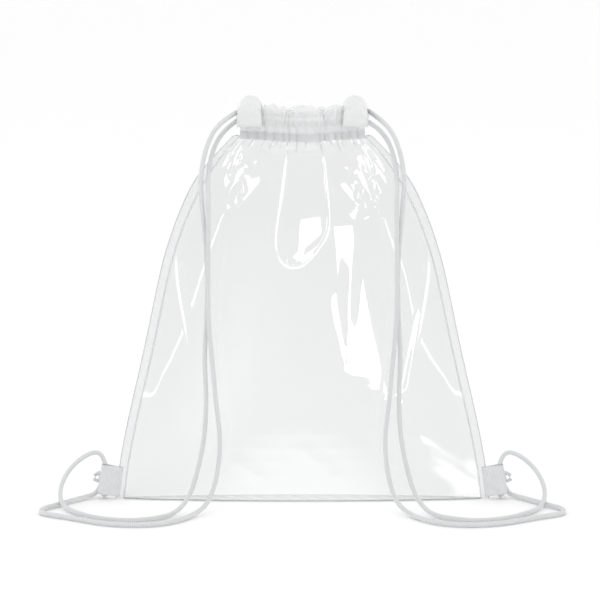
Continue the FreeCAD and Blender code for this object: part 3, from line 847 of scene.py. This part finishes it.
# %% Patches
RIBBON = 0.0008
HOLLOWS = ((0.86, 0.009), (0.84, 0.023), (-0.84, 0.011))
patches = {}
for word, side in SIDES.items():
    low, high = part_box(f"{word}_hem_patch")
    middle_x, half_x = (low.x + high.x) / 2, (high.x - low.x) / 2 - 0.0003
    reach, top, foot = high.y - 0.0005, high.z - 0.0005, low.z + 0.0002
    spring = top - reach
    leg = [(-reach, foot + share * (spring - foot)) for share in np.linspace(0, 1, 9)[:-1]]
    arch = [(-reach * math.cos(a), spring + reach * math.sin(a)) for a in np.linspace(0, math.pi, 33)]
    path = np.array(leg + arch + [(-y, z) for y, z in reversed(leg)])
    u = np.linspace(-1, 1, 25)[None, :]
    y, z = path[:, :1], path[:, 1:]
    above = ease(z, foot, top)
    draw = np.abs(u) ** 3.2
    outer = (1 + side * u) / 2
    round_y = y * (1 - 0.10 * draw * (0.25 + 0.75 * outer) * (0.4 + 0.6 * above))
    puff = 0.0004 * np.sin(u * 7 + z * 300) * above
    round_z = z - (0.0072 * draw + 0.0012 * outer) * ease(z, spring - 0.004, top) + puff
    x = middle_x + half_x * u * (1 - 0.10 * above)
    hollow = sum(0.0013 * np.exp(-(((u - side * across) * half_x) ** 2 + (z - top + down) ** 2) / 0.0024 ** 2)
                 for across, down in HOLLOWS)
    grid = to_grid(x, round_y + np.sign(y) * (puff * 0.6 - hollow), round_z)
    patch = shell(f"{word}_ribbon_patch", grid, RIBBON)
    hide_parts(f"{word}_hem_patch")
    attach(patch, f"{word}_gather")
    patches[word] = patch
    print(patch.name, "is", round(2 * reach, 4), "m front to back and", round(top - foot, 4), "m tall")

# %% [markdown]
# ## Corner tabs and knots
# At the foot a ribbon is folded round the cord and sewn over the end of the side seam, leaning with it.
# Behind it the cord's two ends are tied in a small barrel knot, and their cut tips stick out of it.

# %% Tabs
TAB_LEAN = math.radians(8.5)
TAB_PATH = [(-17, 1.15), (-13, 1.15), (-10, 1.2), (-7.5, 1.7), (-5, 2.6), (-2.5, 3.1), (0, 3.15),
            (1.7, 2.75), (2.8, 1.7), (3.25, 0.0)]
around_fold = finer(TAB_PATH + [(out, -y) for out, y in reversed(TAB_PATH[:-1])], 3)
tabs = {}
for word, side in SIDES.items():
    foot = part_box(f"{word}_corner_tab")[0].z
    out, y = around_fold[None, :, 0], around_fold[None, :, 1]
    z = np.linspace(foot + 0.0029, foot + 0.0312, 25)[:, None]
    fold = side * (TAB_TOP[0] + (TAB_TOP[2] - z) * math.tan(TAB_LEAN))
    wave = 0.00025 * np.sin(z * 520 + out * 0.4)
    skew = out * MM * math.tan(TAB_LEAN)
    grid = to_grid(fold + side * out * MM, y * MM + wave, z + skew)
    tab = shell(f"{word}_ribbon_tab", grid, RIBBON)
    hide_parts(f"{word}_corner_tab")
    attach(tab, "bag")
    tabs[word] = tab
print("each tab takes", round(float(lengths(around_fold)[-1])), "mm of ribbon")

# %% Knots
KNOT_STEPS = 16
KNOT_TURN = math.radians(50)
knots = {}
for word, side in SIDES.items():
    low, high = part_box(f"{word}_cord_knot")
    middle = Vector((side * KNOT_OUTER[0], (low.y + high.y) / 2, 0))
    turn_radius = (high.y - low.y - CORD) / 2 - 0.0002
    route = [Vector((side * 0.1988, middle.y - 0.0016, high.z - 0.0088)),
             Vector((side * 0.1962, middle.y - 0.0026, high.z - 0.0108))]
    for step in range(KNOT_STEPS + 1):
        angle = step * KNOT_TURN - 2.2
        rise = low.z + 0.0028 + (high.z - low.z - 0.0054) * step / KNOT_STEPS
        turn = Vector((side * turn_radius * math.cos(angle), turn_radius * math.sin(angle), rise))
        route.append(middle + turn)
    route += [Vector((side * 0.1955, middle.y + 0.0008, high.z - 0.0036)),
              Vector((side * 0.1985, middle.y + 0.0002, high.z - 0.0060))]
    line = even_line(smooth_line(route), 0.0008)
    along = lengths(line)
    thick = np.full(len(line), CORD / 2 * 0.93)
    for end in (along, along[-1] - along):
        thick -= 0.0005 * (1 - ease(end, 0.002, 0.009)) - 0.00035 * (1 - ease(end, 0.0, 0.0014))
    knot = tube(f"{word}_knot", line, thick, sides=16)
    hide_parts(f"{word}_cord_knot")
    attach(knot, "bag")
    knots[word] = knot
    print(knot.name, "winds up", round(float(along[-1]), 3), "m of cord")

# %% [markdown]
# ## Welded seams
# The two films are welded face to face along a flange outside each edge. The weld is pressed thinner
# than its borders and leaves two fine ridges. The foot is one fold with a fine raised edge at the front
# and the back, and a narrow lens of film between them that the bag stands on. The front edge is dark
# grey, partly for the fold and partly as a painted contact shadow.

# %% Side seams
SEAM_PROFILE = [(-1.2, 0.5), (-0.4, 0.9), (0.3, 1.15), (1.0, 0.95), (1.8, 0.5), (3.2, 0.42), (4.8, 0.42),
                (6.0, 0.46), (6.8, 0.9), (7.4, 1.1), (7.9, 0.7)]
KNURL_PITCH = 0.0021
seams = {}
profile = finer(SEAM_PROFILE, 2)
height, half = sections[FRONT][:, 0, None], sections[FRONT][:, 1, None]
slope = np.gradient(half[:, 0], height[:, 0])[:, None]
for word, side in SIDES.items():
    out = profile[None, :, 0] * MM * (1 - 0.55 * ease(height, 0.29, FILM_TOP))
    pressed = ease(out, 0.0015, 0.0022) - ease(out, 0.0055, 0.0065)
    knurl = 0.00012 * np.sin(height * TURN / KNURL_PITCH) * pressed
    sway = 0.0004 * np.sin(height * 55 + 1.0) * ease(out, 0, 0.008)
    z = np.clip(height - slope * out * 0.9, 0.0004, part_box(f"{word}_side_seam")[1].z)
    seam = shell(f"{word}_weld", to_grid(side * (half + out), sway + knurl, z), profile[None, :, 1] * MM)
    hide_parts(f"{word}_side_seam")
    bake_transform(seam)
    seams[word] = seam
print("the welds are", round(float(profile[-1, 0] - profile[0, 0]), 1), "mm wide, laps included")

# %% Foot
u = np.linspace(-0.998, 0.998, 121)[:, None]
v = np.linspace(-1, 1, 13)[None, :]
foot_half = sections[FRONT][0, 1]
foot_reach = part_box("bottom_seam")[1].y - 0.0002
arc = np.sqrt(np.maximum(1 - u ** 2, 0)) * 0.55 + 0.45 * (1 - u ** 2)
grid = to_grid(foot_half * u, foot_reach * arc * v, 0.00045 + 0.00012 * np.sin(u * 60 + v * 4))
foot = shell("foot_film", grid, 0.0004)
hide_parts("bottom_seam")
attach(foot, "bag")
edges = []
for face, word in FACES.items():
    line = np.stack([grid[:, 0, 0], face * np.abs(grid[:, 0, 1]), np.full(len(grid), 0.00072)], axis=1)
    edge = tube(f"{word}_foot_edge", even_line(line, 0.002), 0.00062, sides=8)
    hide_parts("bottom_seam")
    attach(edge, "bag")
    edges.append(edge)
print("the foot is", round(2 * foot_half, 3), "m wide and", round(2 * foot_reach, 4), "m deep")

# %% [markdown]
# ## Finishes of ribbon, cord and weld
# The patches are satin and the tabs are ribbed grosgrain. Both are fine stripes of thread, so a sine wave
# over the metres of the UV map gives them at their true pitch. Two crossing spirals of stripes make the
# small diamonds of the cord's braid. The stripes also darken the colour where they dip, which is painted
# shade in the grooves of thread that is white all through. Painted textures would show more, but a formula
# stays sharp from any distance and has no joins. The weld is film pressed milky, with a dark line along
# each border.

# %% Ribbons
def satin():
    ribbon = Finish("white_satin", Base_Color=(0.8, 0.8, 0.8, 1), Roughness=0.38, Sheen_Weight=0.3)
    across, down, _ = ribbon.place()
    rib, thread = ribbon.stripes(down, 0.0011), ribbon.stripes(across, 0.0006)
    tone = ribbon.noise(0.006, 3)
    # The colour dips with the ribs: painted shade in their grooves, over a random tone.
    ribbon.feed(ribbon.shader, {
        "Base Color": ribbon.blend(tone * 0.6 + rib * 0.25, (0.70, 0.705, 0.71), (0.84, 0.84, 0.84)),
        "Roughness": 0.34 + thread * 0.08 + rib * 0.06,
        "Normal": ribbon.bump(rib + thread * 0.4, 0.00012, 0.7)})
    return ribbon.material


def grosgrain():
    ribbon = Finish("ribbed_ribbon", Base_Color=(0.7, 0.7, 0.7, 1), Roughness=0.5, Sheen_Weight=0.3)
    across, down, _ = ribbon.place()
    rib, thread = ribbon.stripes(across, 0.0014), ribbon.stripes(down, 0.0007)
    # tone is mostly the ribs: painted shade between them, with a random tone over it.
    tone = rib * 0.7 + ribbon.noise(0.008) * 0.3
    ribbon.feed(ribbon.shader, {
        "Base Color": ribbon.blend(tone, (0.62, 0.63, 0.64), (0.80, 0.805, 0.81)),
        "Roughness": 0.45 + rib * 0.1,
        "Normal": ribbon.bump(rib + thread * 0.3, 0.00022, 0.8)})
    return ribbon.material


# %% Cord
BRAID_STRANDS = 8
BRAID_PITCH = 0.0034


def braid():
    cord = Finish("braided_cord", Base_Color=(0.7, 0.7, 0.7, 1), Roughness=0.55, Sheen_Weight=0.4)
    around, along, _ = cord.place()
    turns = around * (TURN * BRAID_STRANDS / (math.pi * CORD))
    climb = along * (TURN / BRAID_PITCH)
    relief = (turns + climb).sine() * (turns - climb).sine() * 0.5 + 0.5
    # tone follows the braid's relief, so the colour darkens between the strands: painted shade, with a little
    # random tone.
    tone = relief * 0.8 + cord.noise(0.02) * 0.2
    cord.feed(cord.shader, {
        "Base Color": cord.blend(tone, (0.58, 0.59, 0.60), (0.82, 0.825, 0.83)),
        "Roughness": 0.6 - relief * 0.12,
        "Normal": cord.bump(relief, 0.00035, 0.9)})
    return cord.material


# %% Welds, foot and thread
def weld_vinyl():
    weld = Finish("weld_vinyl", Base_Color=(0.7, 0.7, 0.7, 1), Roughness=0.2, IOR=1.5)
    across, down, _ = weld.place()
    inner = weld.ramp(across, 0.0009, 0.0012) - weld.ramp(across, 0.0016, 0.0019)
    outer = weld.ramp(across, 0.0081, 0.0086)
    line = inner.most(outer)
    knurl = weld.stripes(down, KNURL_PITCH)
    weld.feed(weld.shader, {
        "Base Color": weld.blend(line, (0.84, 0.845, 0.85), (0.56, 0.57, 0.58)),
        "Roughness": 0.18 + knurl * 0.12,
        "Normal": weld.bump(knurl + weld.noise(0.003), 0.0002, 0.4)})
    weld.see_through((weld.skim() * 1.4 + 0.12 + line * 0.34).least(0.96), (0.93, 0.932, 0.935))
    return weld.material


def foot_fold_and_painted_shadow():
    # The dark grey is partly the fold and partly a painted contact shadow along the foot.
    fold = Finish("folded_edge_and_painted_shadow", Base_Color=(0.5, 0.51, 0.52, 1), Roughness=0.2, IOR=1.5)
    tone = fold.noise(0.01)
    fold.feed(fold.shader, {"Base Color": fold.blend(tone, (0.34, 0.35, 0.36), (0.5, 0.51, 0.52)),
                            "Roughness": 0.15 + tone * 0.15})
    fold.see_through(0.72 + tone * 0.15, (0.96, 0.96, 0.96))
    return fold.material


def sewing_thread():
    thread = Finish("sewing_thread", Base_Color=(0.8, 0.8, 0.8, 1), Roughness=0.6, Sheen_Weight=0.3)
    tone = thread.noise(0.0006)
    thread.feed(thread.shader, {"Base Color": thread.blend(tone, (0.62, 0.62, 0.63), (0.84, 0.84, 0.84)),
                                "Normal": thread.bump(tone, 0.0001, 0.6)})
    return thread.material


# %% Dress the pieces
weld_finish = weld_vinyl()
# The front foot edge takes the dark finish, which holds a painted contact shadow; the back edge takes the
# weld's.
for pieces, finish, slot in (
        (hems.values(), hem_vinyl(hem_round), "hem_film"), (seams.values(), weld_finish, "seam_film"),
        ([foot], back_vinyl, "seam_film"), (edges[:1], foot_fold_and_painted_shadow(), "seam_film"),
        (edges[1:], weld_finish, "seam_film"), (patches.values(), satin(), "ribbon"),
        (tabs.values(), grosgrain(), "ribbon"), ([*strands.values(), *knots.values()], braid(), "cord")):
    for piece in pieces:
        dress(piece, finish)

# %% Thread, and light through the film
thread_finish = sewing_thread()
for stitches in (f"{word}_{place}_stitching" for word in SIDES for place in ("patch", "tab")):
    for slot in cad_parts[stitches].material_slots:
        slot.material = thread_finish
for sheet in [*films.values(), foot]:
    sheet.visible_shadow = False
    sheet.visible_diffuse = False
print("finishes:", sorted(material.name for material in bpy.data.materials if material.use_nodes))

# %% [markdown]
# ## Studio
# The floor is plain white paper. The room gives even light all round. The film mirrors a plainer room
# of its own, grey in front and bright low down and behind the sides, so that its slopes show as soft
# greys and its steep folds as white lines. A few softboxes give the hard white reflections. They are
# mirrored but don't light the floor, so the paper stays even.

# %% Floor and room
FLOOR_SIZE = 9.0
floor = add_object("floor", [(-FLOOR_SIZE, -FLOOR_SIZE, 0), (FLOOR_SIZE, -FLOOR_SIZE, 0),
                             (FLOOR_SIZE, FLOOR_SIZE, 0), (-FLOOR_SIZE, FLOOR_SIZE, 0)], [(0, 1, 2, 3)])
floor.location.z = -0.0004
floor.visible_glossy = False
paper = Finish("white_paper", Base_Color=(0.93, 0.93, 0.93, 1), Roughness=0.9)
floor.data.materials.append(paper.material)

world = bpy.data.worlds.new("studio")
scene.world = world
world.use_nodes = True
room = Recipe(world.node_tree)
world.node_tree.nodes.remove(world.node_tree.nodes["Background"])
aside, ahead, up = room.place("Generated")
to_the_sides_or_low = room.ramp(aside * aside, 0.06, 0.3).most(1 - room.ramp(up, -0.5, -0.2))
behind = room.ramp(ahead, 0.3, 0.55) * to_the_sides_or_low
underneath = (1 - room.ramp(up, -0.85, -0.70)) * room.ramp(up, -0.98, -0.9)
WHITE = (1, 1, 1, 1)
ROOM_LIGHT = 1.07
everyday = room.add("Background", values={"Color": WHITE, "Strength": ROOM_LIGHT})
reflected = room.add("Background", values={"Color": WHITE,
                                           "Strength": 0.62 + behind * 2.2 + underneath * 1.2})
is_mirror = room.add("LightPath", output="Is Glossy Ray")
sky = room.add("MixShader", values={0: is_mirror, 1: everyday, 2: reflected})
world.node_tree.links.new(sky.socket, world.node_tree.nodes["World Output"].inputs["Surface"])
scene.view_settings.view_transform = "Standard"
print("the room takes", len(world.node_tree.nodes), "nodes")


# %% Softboxes
def softbox(name, place, target, width, height, radiance):
    """A rectangular light: its power comes from how bright its face should look."""
    data = bpy.data.lights.new(name, "AREA")
    data.shape = "RECTANGLE"
    data.size, data.size_y = width, height
    data.energy = radiance * math.pi * width * height
    lamp = bpy.data.objects.new(name, data)
    lamp.location = place
    lamp.rotation_euler = (Vector(target) - Vector(place)).to_track_quat("-Z", "Y").to_euler()
    lamp.visible_camera = False
    scene.collection.objects.link(lamp)
    return lamp


MIDDLE = (0, 0, 0.2)
MOUTH = (0, 0, 0.3)
mirrors = [softbox("key", (1.19, -1.81, 0.05), MIDDLE, 0.66, 2.1, 4.2)]
for word, side in SIDES.items():
    mirrors.append(softbox(f"{word}_strip", (side * 1.71, -0.47, 0.3), MIDDLE, 0.06, 1.2, 2.2))
    mirrors.append(softbox(f"{word}_overhead", (side * 1.27, -0.32, 1.38), MOUTH, 0.75, 0.55, 3.0))
for lamp in mirrors:
    lamp.visible_diffuse = False
soft_top = softbox("soft_top", (-0.5, -1.0, 2.2), MIDDLE, 1.6, 1.6, 0.55)
soft_top.visible_glossy = False
print(len(mirrors), "softboxes to mirror and one to light the floor")
